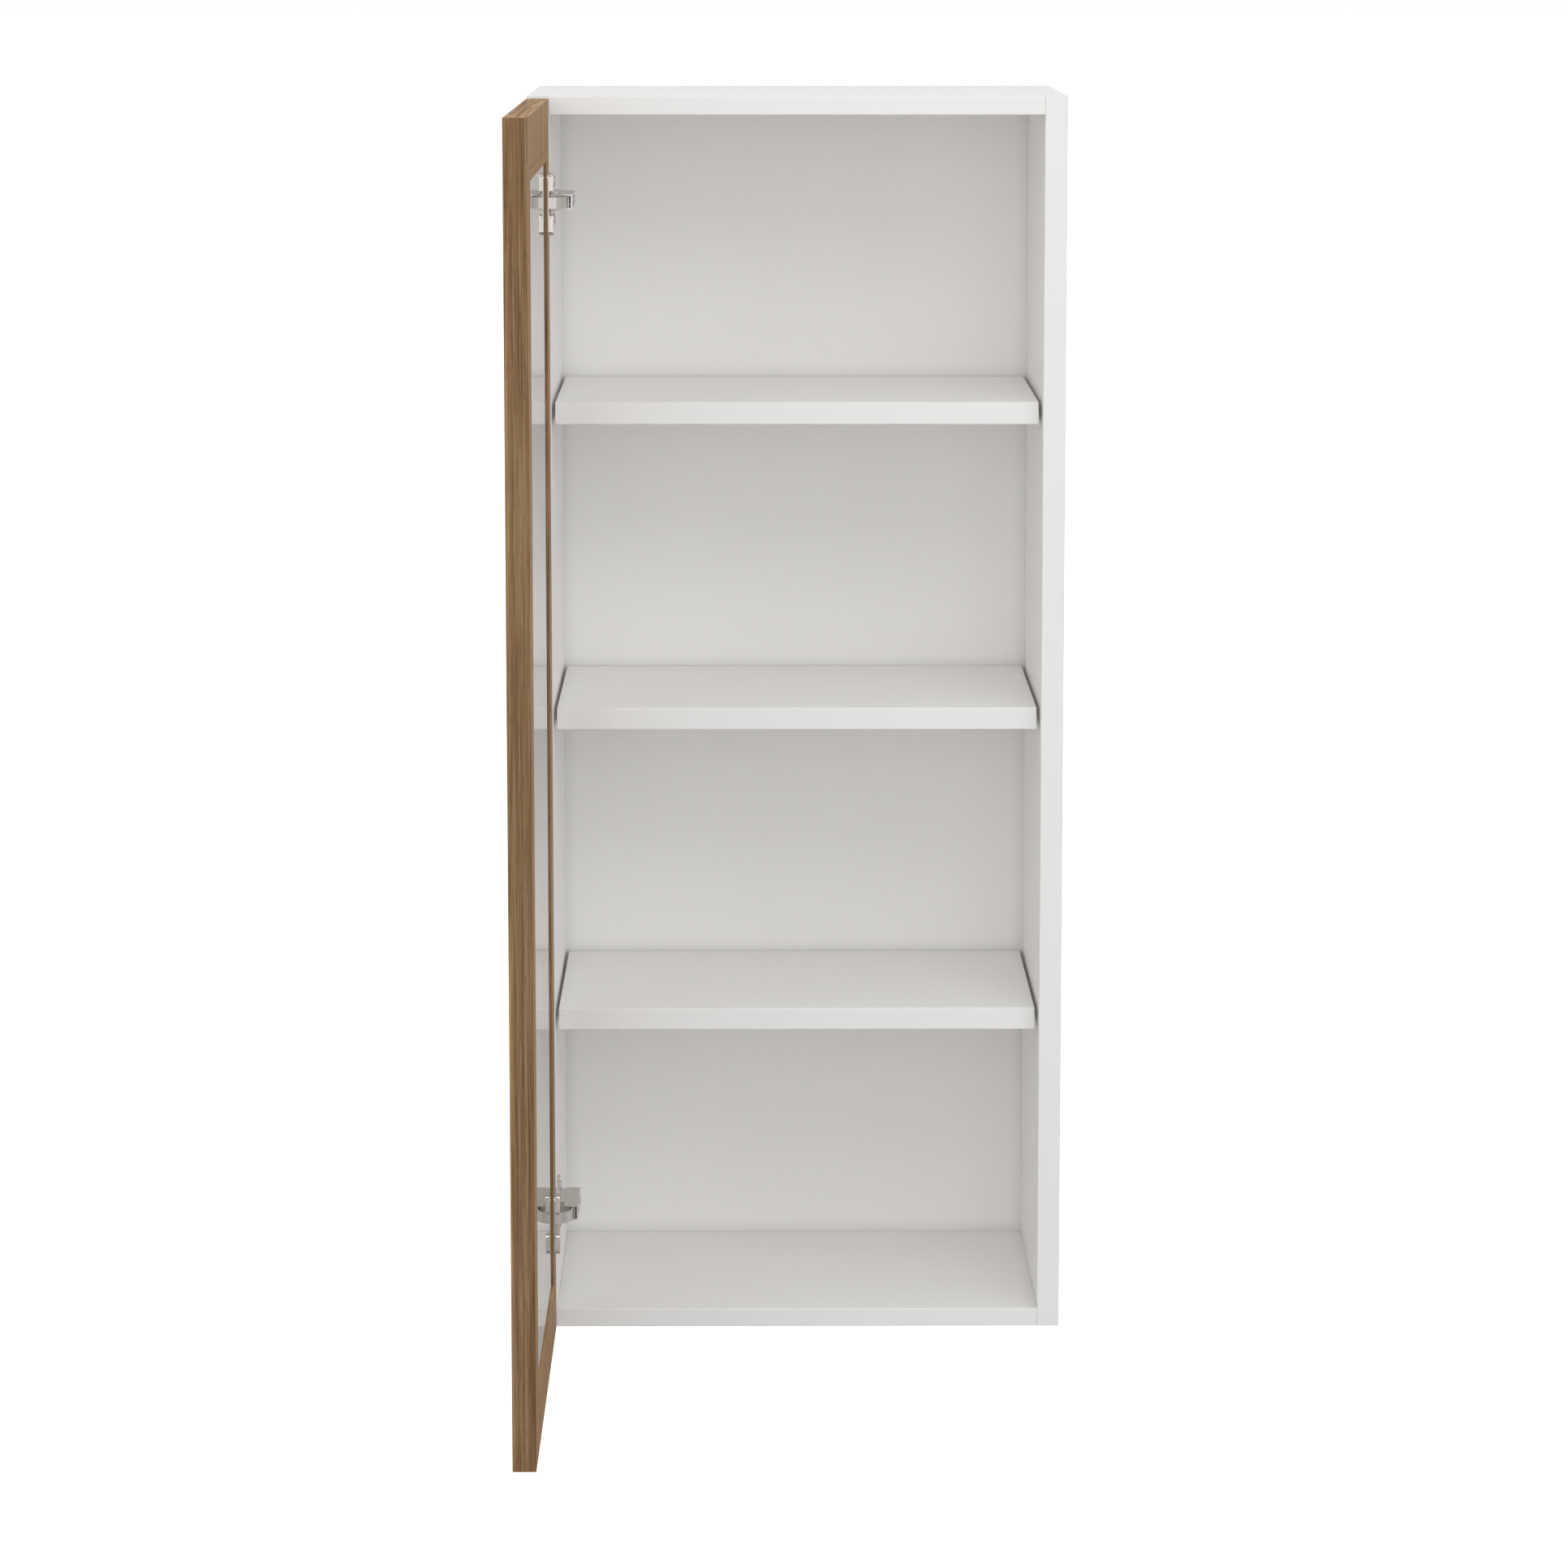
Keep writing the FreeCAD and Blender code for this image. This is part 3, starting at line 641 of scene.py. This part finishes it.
@dataclass(frozen=True)
class CrossScrew:
    """Screw with a low domed head and a cross recess. Shares are of the head's radius or height."""

    head: float  # radius
    height: float  # of the head over its seat
    shank: float  # radius
    length: float  # of the shank under the seat
    around: int = 64
    rings: int = 19
    top: float = 0.94  # share of the radius that the dome covers
    fall: float = 0.3  # share of the height that the dome loses at its rim
    arm: float = 0.62  # reach of the recess's arms
    arm_half: float = 0.17  # half their width
    wall: float = 0.07  # width of the recess's side walls
    end_wall: float = 0.08  # width of the walls at the arms' ends
    depth: float = 0.6  # share of the height

    def dome(self, angle: Array) -> Array:
        """Rings of the head's top, from its middle to the rim.

        Level = height * (1 - fall * (r / head)^3) - depth * height * s(cross), where cross falls from
        1 to 0 across the walls of the strips |x| < arm_half and |y| < arm_half inside a circle of
        arm * head, and s(c) = c^2 * (3 - 2c) rounds it.
        """
        reach = np.linspace(0.0, 1.0, self.rings)[:, None] * self.head * self.top
        x, y = reach * np.cos(angle), reach * np.sin(angle)
        inner = np.clip((self.arm * self.head - reach) / (self.end_wall * self.head), 0, 1)
        strips = [
            np.clip((self.arm_half * self.head - np.abs(v)) / (self.wall * self.head), 0, 1) for v in (x, y)
        ]
        cross = np.maximum(*strips) * inner
        dome = self.height * (1 - self.fall * (reach / self.head) ** 3)
        return np.stack([x, y, dome - self.depth * self.height * cross * (3 - 2 * cross) * cross], -1)

    def make(self, place: Place) -> Skin:
        """The dome, and under it the rim and the shank as a profile of (radius, level) turned round.

        Args:
            place: the seat's centre, with the screw standing along `out`.

        Returns:
            The screw's skin.
        """
        angle = np.linspace(0, 2 * math.pi, self.around, endpoint=False)
        head, tip = self.head, -self.length
        profile = np.array([
            (head, self.height * (1 - self.fall) - 0.06 * head),  # rim
            (head, 0.08 * self.height),
            (0.97 * head, 0.0),  # seat
            (self.shank, 0.0),
            (self.shank, tip + 0.5 * self.shank),  # blunt tip
            (0.3 * self.shank, tip),
            (0.0, tip),
        ])
        radius, level = profile[:, :1], np.repeat(profile[:, 1:], self.around, axis=1)
        under = np.stack([radius * np.cos(angle), radius * np.sin(angle), level], -1)
        return skin(place.put(np.concatenate([self.dome(angle[None, :]), under])), caps=False)


# ---- pieces -----------------------------------------------------------------------------------------


def clean(mesh: bpy.types.Mesh, flat: float = 0.0, arris: float = 0.0, shortest: float = 0.0) -> None:
    """Merge a mesh's doubles, turn its faces outwards, and round its long straight edges if asked.

    Args:
        mesh: the mesh.
        flat: angle in radians under which neighbouring faces become one.
        arris: rounding of the long edges, in metres.
        shortest: length from which an edge is long.
    """
    work = bmesh.new()
    work.from_mesh(mesh)
    bmesh.ops.remove_doubles(work, verts=work.verts, dist=MERGE)
    bmesh.ops.dissolve_degenerate(work, dist=MERGE, edges=work.edges)
    if flat:
        bmesh.ops.dissolve_limit(work, angle_limit=flat, verts=work.verts, edges=work.edges)
    bmesh.ops.recalc_face_normals(work, faces=work.faces)
    if arris:
        sharp = [
            e for e in work.edges
            if e.is_manifold and e.calc_face_angle() > CORNER and e.calc_length() > shortest
        ]
        bmesh.ops.bevel(work, geom=sharp, offset=arris, segments=2, profile=0.5, affect="EDGES")
        bmesh.ops.remove_doubles(work, verts=work.verts, dist=MERGE)
    work.to_mesh(mesh)
    work.free()


@dataclass(frozen=True)
class Dress:
    """A piece's finish, the body it moves with and the record's slot for its finish."""

    material: bpy.types.Material
    body: Body
    slot: Slot


def present(name: str, mesh: bpy.types.Mesh, dress: Dress, nodes: Sequence[str]) -> bpy.types.Object:
    """Put a mesh in the scene as a piece.

    Args:
        name: the piece's name.
        mesh: its mesh, in the frame.
        dress: its finish, body and slot.
        nodes: CAD nodes that it stands for.

    Returns:
        The piece.
    """
    body, slot = dress.body, dress.slot
    mesh.materials.clear()
    mesh.materials.append(dress.material)
    mesh.shade_smooth()
    mesh.set_sharp_from_angle(angle=CREASE)
    piece = bpy.data.objects.new(name, mesh)
    bpy.context.scene.collection.objects.link(piece)
    even = piece.modifiers.new("even_normals", "WEIGHTED_NORMAL")
    even.keep_sharp = True
    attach(piece, body.value)
    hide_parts(*nodes)
    log.info("%s: %d points, on %s, for %s", name, len(mesh.vertices), body.value, ", ".join(nodes))
    return piece


def piece_from_skin(name: str, shape: Skin, dress: Dress, *nodes: str) -> bpy.types.Object:
    """Piece with the shape of a skin. The other arguments are those of `present`."""
    mesh = bpy.data.meshes.new(name)
    mesh.from_pydata(shape.points.tolist(), [], shape.faces)
    clean(mesh)
    return present(name, mesh, dress, nodes)


def softened(
    name: str, node: str, dress: Dress, arris: float, shortest: float, taller: float = 1.0
) -> bpy.types.Object:
    """Piece from a merged copy of a CAD node with its long straight edges rounded.

    Args:
        name: the piece's name.
        node: the CAD node it copies and stands for.
        dress: its finish, body and slot.
        arris: rounding of the edges, in metres.
        shortest: length from which an edge is rounded.
        taller: scale of its height about its middle.

    Returns:
        The piece.
    """
    mesh = cad_node(node).data.copy()
    mesh.name = name
    low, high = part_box(node)
    middle = (low.z + high.z) / 2
    lifted = Matrix.Translation((0, 0, middle * (1 - taller)))
    mesh.transform(lifted @ Matrix.Diagonal((1, 1, taller, 1)))
    clean(mesh, flat=FLAT, arris=arris, shortest=shortest)
    return present(name, mesh, dress, [node])


def cad_node(node: str) -> bpy.types.Object:
    """CAD object of a node."""
    return FRAME["nodes"][node]


def paint(material: bpy.types.Material, *nodes: str) -> None:
    """Give CAD nodes that stay a finish."""
    for node in nodes:
        held = cad_node(node)
        for index in range(len(held.material_slots)):
            held.material_slots[index].material = material
        log.info("%s keeps its CAD shape", node)


@dataclass
class Carcass:
    """Sides, decks, back, shelves and the fittings that join them."""

    finishes: Finishes
    arris: float = 0.35 * MM  # rounding of the boards' edges
    band_radius: float = 0.8 * MM  # rounding of the edge bands' outer edges
    band_end: float = 0.1 * MM  # rounding of their ends
    longest_fitting: float = 30 * MM  # edges under this belong to holes and stay sharp
    pin_arris: float = 0.3 * MM
    shortest_pin_edge: float = 1.9 * MM

    def make(self) -> None:
        """Make every piece of the carcass."""
        self.boards()
        self.bands()
        self.shelves()
        self.fittings()

    def boards(self) -> None:
        """Sides, decks and back, from the CAD shapes with their holes."""
        board = Dress(self.finishes.board, Body.CARCASS, Slot.BOARD)
        for node in ("left_side_panel", "right_side_panel", "top_panel", "bottom_panel", "back_panel"):
            softened(f"{node}_board", node, board, self.arris, self.longest_fitting)

    def band(self, low: Vector, high: Vector) -> Skin:
        """One edge band: square against the board, rounded at its two front edges."""
        size, middle = high - low, (low + high) / 2
        upright = size.z > size.x
        half, length = (size.x, size.z) if upright else (size.z, size.x)
        corners = np.array([(-half / 2, 0), (half / 2, 0), (half / 2, size.y), (-half / 2, size.y)])
        radii = np.array([0, 0, self.band_radius, self.band_radius])
        if upright:
            place = Place((middle.x, high.y, middle.z), (-1, 0, 0), (0, -1, 0), (0, 0, 1))
        else:
            place = Place((middle.x, high.y, middle.z), (0, 0, 1), (0, -1, 0), (1, 0, 0))
        return bar(corners, radii, -length / 2, length / 2, self.band_end, place)

    def bands(self) -> None:
        """Edge bands of the sides, the decks and the shelves."""
        edge = Dress(self.finishes.edge, Body.CARCASS, Slot.EDGE)
        side_low, side_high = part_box("side_edge_bands")
        deck_low, deck_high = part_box("deck_edge_bands")
        inner = deck_high.x
        left, right = (
            self.band(Vector((a, side_low.y, side_low.z)), Vector((b, side_high.y, side_high.z)))
            for a, b in ((side_low.x, -inner), (inner, side_high.x))
        )
        piece_from_skin("side_bands", left + right, edge, "side_edge_bands")
        inside_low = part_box("left_side_panel")[0].z
        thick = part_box("top_panel")[1].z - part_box("top_panel")[0].z
        bottom, top = (
            self.band(Vector((deck_low.x, deck_low.y, z)), Vector((deck_high.x, deck_high.y, z + thick)))
            for z in (inside_low, deck_high.z - thick)
        )
        piece_from_skin("deck_bands", bottom + top, edge, "deck_edge_bands")
        low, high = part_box("shelf_edge_bands")
        strips = []
        for name in ("lower", "middle", "upper"):
            shelf_low, shelf_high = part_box(f"{name}_shelf")
            first, last = Vector((low.x, low.y, shelf_low.z)), Vector((high.x, high.y, shelf_high.z))
            strips.append(self.band(first, last))
        piece_from_skin("shelf_bands", strips[0] + strips[1] + strips[2], edge, "shelf_edge_bands")

    def shelves(self) -> None:
        """Three shelf boards."""
        board = Dress(self.finishes.board, Body.CARCASS, Slot.BOARD)
        for name in ("upper", "middle", "lower"):
            shape = block(*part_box(f"{name}_shelf"), self.arris)
            piece_from_skin(f"{name}_shelf_board", shape, board, f"{name}_shelf")

    def fittings(self) -> None:
        """Shelf pins, cams, bolts, dowels and back screws."""
        pin = Dress(self.finishes.nickel, Body.CARCASS, Slot.NICKEL)
        for name in ("upper", "middle", "lower"):
            softened(
                f"{name}_shelf_supports", f"{name}_shelf_pins", pin, self.pin_arris, self.shortest_pin_edge
            )
        paint(self.finishes.zinc, "cam_locks", "cam_bolts", "back_screws")
        paint(self.finishes.beech, "carcass_dowels")


@dataclass
class Door:
    """Walnut frame with its glass, beads, seal and dowels."""

    finishes: Finishes
    arris: float = 0.7 * MM  # rounding of the members' edges
    longest_fitting: float = 8 * MM  # edges under this belong to holes and stay sharp
    bead_round: float = 0.6 * MM  # rounding of the beads' front edge
    bead_points: int = 5  # points on that rounding

    def make(self) -> None:
        """Make every piece of the door."""
        cuts = {  # shift of the grain's pattern for each member, in metres
            "hinge_stile": (0.31, 0.17, 0.42), "free_stile": (0.0, 0.0, 0.0),
            "top_rail": (0.53, 0.29, 0.11), "bottom_rail": (0.83, 0.61, 0.37),
        }
        for member, place in cuts.items():
            wood = Dress(self.finishes.walnut(member, place), Body.DOOR, Slot.WALNUT)
            softened(f"{member}_wood", f"door_{member}", wood, self.arris, self.longest_fitting)
        wood = Dress(self.finishes.walnut("beads", (0.07, 0.43, 0.71)), Body.DOOR, Slot.WALNUT)
        piece_from_skin("glazing_beads", self.beads(), wood, "glass_beads")
        paint(self.finishes.glass, "door_glass")
        paint(self.finishes.seal, "glass_seal")
        paint(self.finishes.beech, "door_dowels")

    def beads(self) -> Skin:
        """Glazing beads: one small profile carried round the opening with mitred corners.

        The profile's points are (inwards, depth), with inwards 0 at the rebate's edge, and each corner
        of the opening holds one ring of them.
        """
        low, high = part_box("glass_beads")
        width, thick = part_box("door_free_stile")[1].y - low.y, high.x - low.x
        turn = np.linspace(0, math.pi / 2, self.bead_points)
        edge = width - self.bead_round * (1 - np.sin(turn))
        fall = self.bead_round * (1 - np.cos(turn))
        inwards = np.concatenate([[0.0], edge, [width, 0.0]])
        depth = np.concatenate([[0.0], fall, [thick, thick]])
        corners = [
            (low.y, low.z, 1, 1), (high.y, low.z, -1, 1), (high.y, high.z, -1, -1), (low.y, high.z, 1, -1)
        ]
        rings = [
            np.column_stack([high.x - depth, y + a * inwards, z + b * inwards]) for y, z, a, b in corners
        ]
        return skin(np.array(rings), loop=True)


@dataclass
class Hinge:
    """One concealed hinge: cup, link, pin, arm, mounting plate and screws."""

    finishes: Finishes
    hung: Hung
    arris: float = 0.25 * MM  # rounding of the pressings' edges
    shortest: float = 1.5 * MM  # length from which an edge is rounded
    shank: float = 0.5  # shank's radius against its head's
    link_height: float = 1.34  # the steel link's height against the plain one, to fill the arm's channel
    heads: Mapping[str, tuple[float, float]] = field(  # depth of the seat and height of the head
        default_factory=lambda: {
            "cup_screws": (2.2 * MM, 1.5 * MM), "arm_screws": (2.2 * MM, 0.9 * MM),
            "plate_screws": (2.0 * MM, 1.4 * MM),
        }
    )

    def make(self) -> None:
        """Make every piece of the hinge."""
        prefix = f"{self.hung.value}_hinge"
        bodies = {
            "cup": Body.DOOR, "link": self.hung.link_body,
            "arm": Body.CARCASS, "mounting_plate": Body.CARCASS,
        }
        for part, body in bodies.items():
            steel = Dress(self.finishes.nickel, body, Slot.NICKEL)
            taller = self.link_height if part == "link" else 1.0
            softened(f"{prefix}_{part}_steel", f"{prefix}_{part}", steel, self.arris, self.shortest, taller)
        for part, (seat, height) in self.heads.items():
            body = Body.DOOR if part == "cup_screws" else Body.CARCASS
            self.screws(f"{prefix}_{part}", seat, height, body)
        paint(self.finishes.zinc, f"{prefix}_pivot_pin")

    def screws(self, node: str, seat: float, height: float, body: Body) -> None:
        """Two screws at the ends of a node's box, heads towards the cabinet's middle.

        Args:
            node: the CAD node they stand for.
            seat: how far under the box's inner face the heads sit.
            height: the height of a head.
            body: the body they move with.
        """
        low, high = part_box(node)
        head = min(high.y - low.y, high.z - low.z) / 2
        screw = CrossScrew(head, height, self.shank * head, high.x - seat - low.x)
        first, second = (
            screw.make(Place((high.x - seat, y, z), (0, 1, 0), (0, 0, 1), (1, 0, 0)))
            for y, z in ((low.y + head, low.z + head), (high.y - head, high.z - head))
        )
        piece_from_skin(f"{node}_zinc", first + second, Dress(self.finishes.zinc, body, Slot.ZINC), node)


# ---- studio -----------------------------------------------------------------------------------------


@dataclass(frozen=True)
class Softbox:
    """Square soft light: where it stands, the point it faces, its side and its power in watts."""

    name: str
    place: Sequence[float]
    target: Sequence[float]
    size: float
    power: float


@dataclass
class Studio:
    """White surroundings, a pale floor far below, soft lights and the camera."""

    softboxes: Sequence[Softbox] = (
        Softbox("high_front", (0.5, -3.0, 2.4), (0.0, -0.1, 0.1), 2.0, 23.5),
        Softbox("level_front", (0.2, -4.6, 0.3), (0.0, -0.1, 0.0), 2.0, 13.0),
        Softbox("front_right", (2.2, -2.8, 0.6), (0.0, -0.1, 0.0), 1.5, 5.6),
        Softbox("front_left", (-1.6, -3.4, 0.6), (0.0, -0.1, 0.0), 1.5, 8.9),
    )
    floor_drop: float = 1.3716  # from the cabinet's underside to the floor
    floor_half: float = 150.0
    floor_tone: float = 0.30
    bounces: int = 12  # enough for light to fill the white compartments
    surroundings: float = 0.80
    floor_glow: float = 0.10
    camera_place: Sequence[float] = (-0.0394, -5.0138, 0.6801)
    camera_yaw: float = 0.3426  # degrees to the right
    camera_pitch: float = 8.8615  # degrees down
    lens: float = 127.22
    film: float = 36.0
    farthest: float = 1000.0

    def make(self, underside: float) -> None:
        """Set up the surroundings.

        Args:
            underside: level of the cabinet's lowest point.
        """
        scene = bpy.context.scene
        scene.view_settings.view_transform = "Standard"
        scene.cycles.diffuse_bounces = self.bounces
        self.world()
        self.floor(underside - self.floor_drop)
        for softbox in self.softboxes:
            self.light(softbox)
        self.camera()

    def seen_white(self, tree: bpy.types.NodeTree, glow: float) -> bpy.types.NodeSocket:
        """Strength that is 1 where the surroundings are looked at, also through the glass.

        It is `glow` where they only light the cabinet.
        """
        path = tree.nodes.new("ShaderNodeLightPath")
        seen = tree.nodes.new("ShaderNodeMath")
        seen.operation = "MAXIMUM"
        tree.links.new(path.outputs["Is Camera Ray"], seen.inputs[0])
        tree.links.new(path.outputs["Is Transmission Ray"], seen.inputs[1])
        strength = tree.nodes.new("ShaderNodeMapRange")
        tree.links.new(seen.outputs["Value"], strength.inputs["Value"])
        strength.inputs["To Min"].default_value = glow
        strength.inputs["To Max"].default_value = 1.0
        return strength.outputs["Result"]

    def world(self) -> None:
        """Even white light from all round."""
        world = bpy.data.worlds.new("white_room")
        world.use_nodes = True
        back = next(n for n in world.node_tree.nodes if n.type == "BACKGROUND")
        back.inputs["Color"].default_value = WHITE
        strength = self.seen_white(world.node_tree, self.surroundings)
        world.node_tree.links.new(strength, back.inputs["Strength"])
        bpy.context.scene.world = world

    def floor(self, level: float) -> None:
        """Pale floor that glows a little, so that it reads as white paper."""
        half = self.floor_half
        mesh = bpy.data.meshes.new("floor")
        points = [(-half, -half, level), (half, -half, level), (half, half, level), (-half, half, level)]
        mesh.from_pydata(points, [], [(0, 1, 2, 3)])
        shader = Shader("pale_floor")
        shader.base(
            Base_Color=(*[self.floor_tone] * 3, 1.0), Roughness=1.0, Specular_IOR_Level=0.0,
            Emission_Color=WHITE, Emission_Strength=self.seen_white(shader.tree, self.floor_glow),
        )
        mesh.materials.append(shader.material)
        plane = bpy.data.objects.new("floor", mesh)
        bpy.context.scene.collection.objects.link(plane)
        plane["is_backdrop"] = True

    def light(self, softbox: Softbox) -> None:
        """Put up one soft light."""
        lamp = bpy.data.lights.new(softbox.name, "AREA")
        lamp.shape = "SQUARE"
        lamp.size = softbox.size
        lamp.energy = softbox.power
        holder = bpy.data.objects.new(softbox.name, lamp)
        holder.location = softbox.place
        facing = Vector(softbox.target) - Vector(softbox.place)
        holder.rotation_euler = facing.to_track_quat("-Z", "Y").to_euler()
        bpy.context.scene.collection.objects.link(holder)

    def camera(self) -> None:
        """Camera in front, a little above the middle and looking slightly down."""
        data = bpy.data.cameras.new("camera")
        data.sensor_fit = "HORIZONTAL"
        data.sensor_width = self.film
        data.lens = self.lens
        data.clip_end = self.farthest
        eye = bpy.data.objects.new("camera", data)
        eye.location = self.camera_place
        eye.rotation_euler = (math.radians(90 - self.camera_pitch), 0.0, -math.radians(self.camera_yaw))
        bpy.context.scene.collection.objects.link(eye)
        bpy.context.scene.camera = eye


# ---- making it --------------------------------------------------------------------------------------


def box_rows(bounds: tuple[Vector, Vector]) -> list[list[float]]:
    """Box as plain lists of numbers."""
    return [[round(float(v), 6) for v in corner] for corner in bounds]


def main() -> None:
    """Load the frame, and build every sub-assembly in order."""
    logging.basicConfig(level=logging.INFO, format="%(name)s: %(message)s")
    FRAME.update(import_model())
    cad_box = box_rows(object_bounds())
    finishes = Finishes()
    Studio().make(cad_box[0][2])
    Carcass(finishes).make()
    Door(finishes).make()
    for hung in Hung:
        Hinge(finishes, hung).make()


if __name__ == "__main__":
    main()
